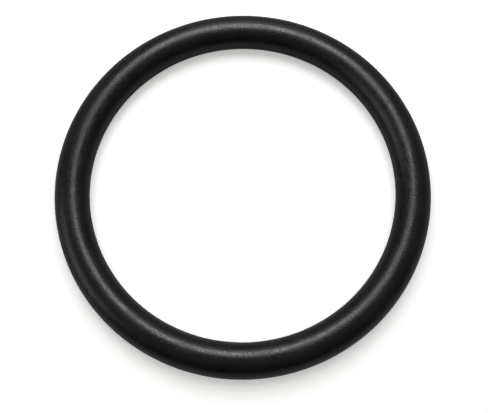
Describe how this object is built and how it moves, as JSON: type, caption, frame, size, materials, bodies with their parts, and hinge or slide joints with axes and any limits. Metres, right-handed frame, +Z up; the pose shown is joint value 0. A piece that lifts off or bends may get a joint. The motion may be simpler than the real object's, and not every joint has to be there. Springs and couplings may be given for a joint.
{
  "type": "o-ring",
  "caption": "Black rubber o-ring of round section, a static or sliding seal for a groove on a shaft or in a bore, lying flat.",
  "frame": {"origin": "on the ring's axis, on the surface that the ring lies on", "axes": "+Z up along the ring's axis; the ring is the same all the way round, so X and Y are any two directions across it"},
  "size_m": [0.0384, 0.0384, 0.0035],
  "materials": {
    "rubber": "black moulded rubber, satin with a fine matte grain"
  },
  "bodies": {
    "root": {"o_ring": "rubber"}
  },
  "joints": []
}
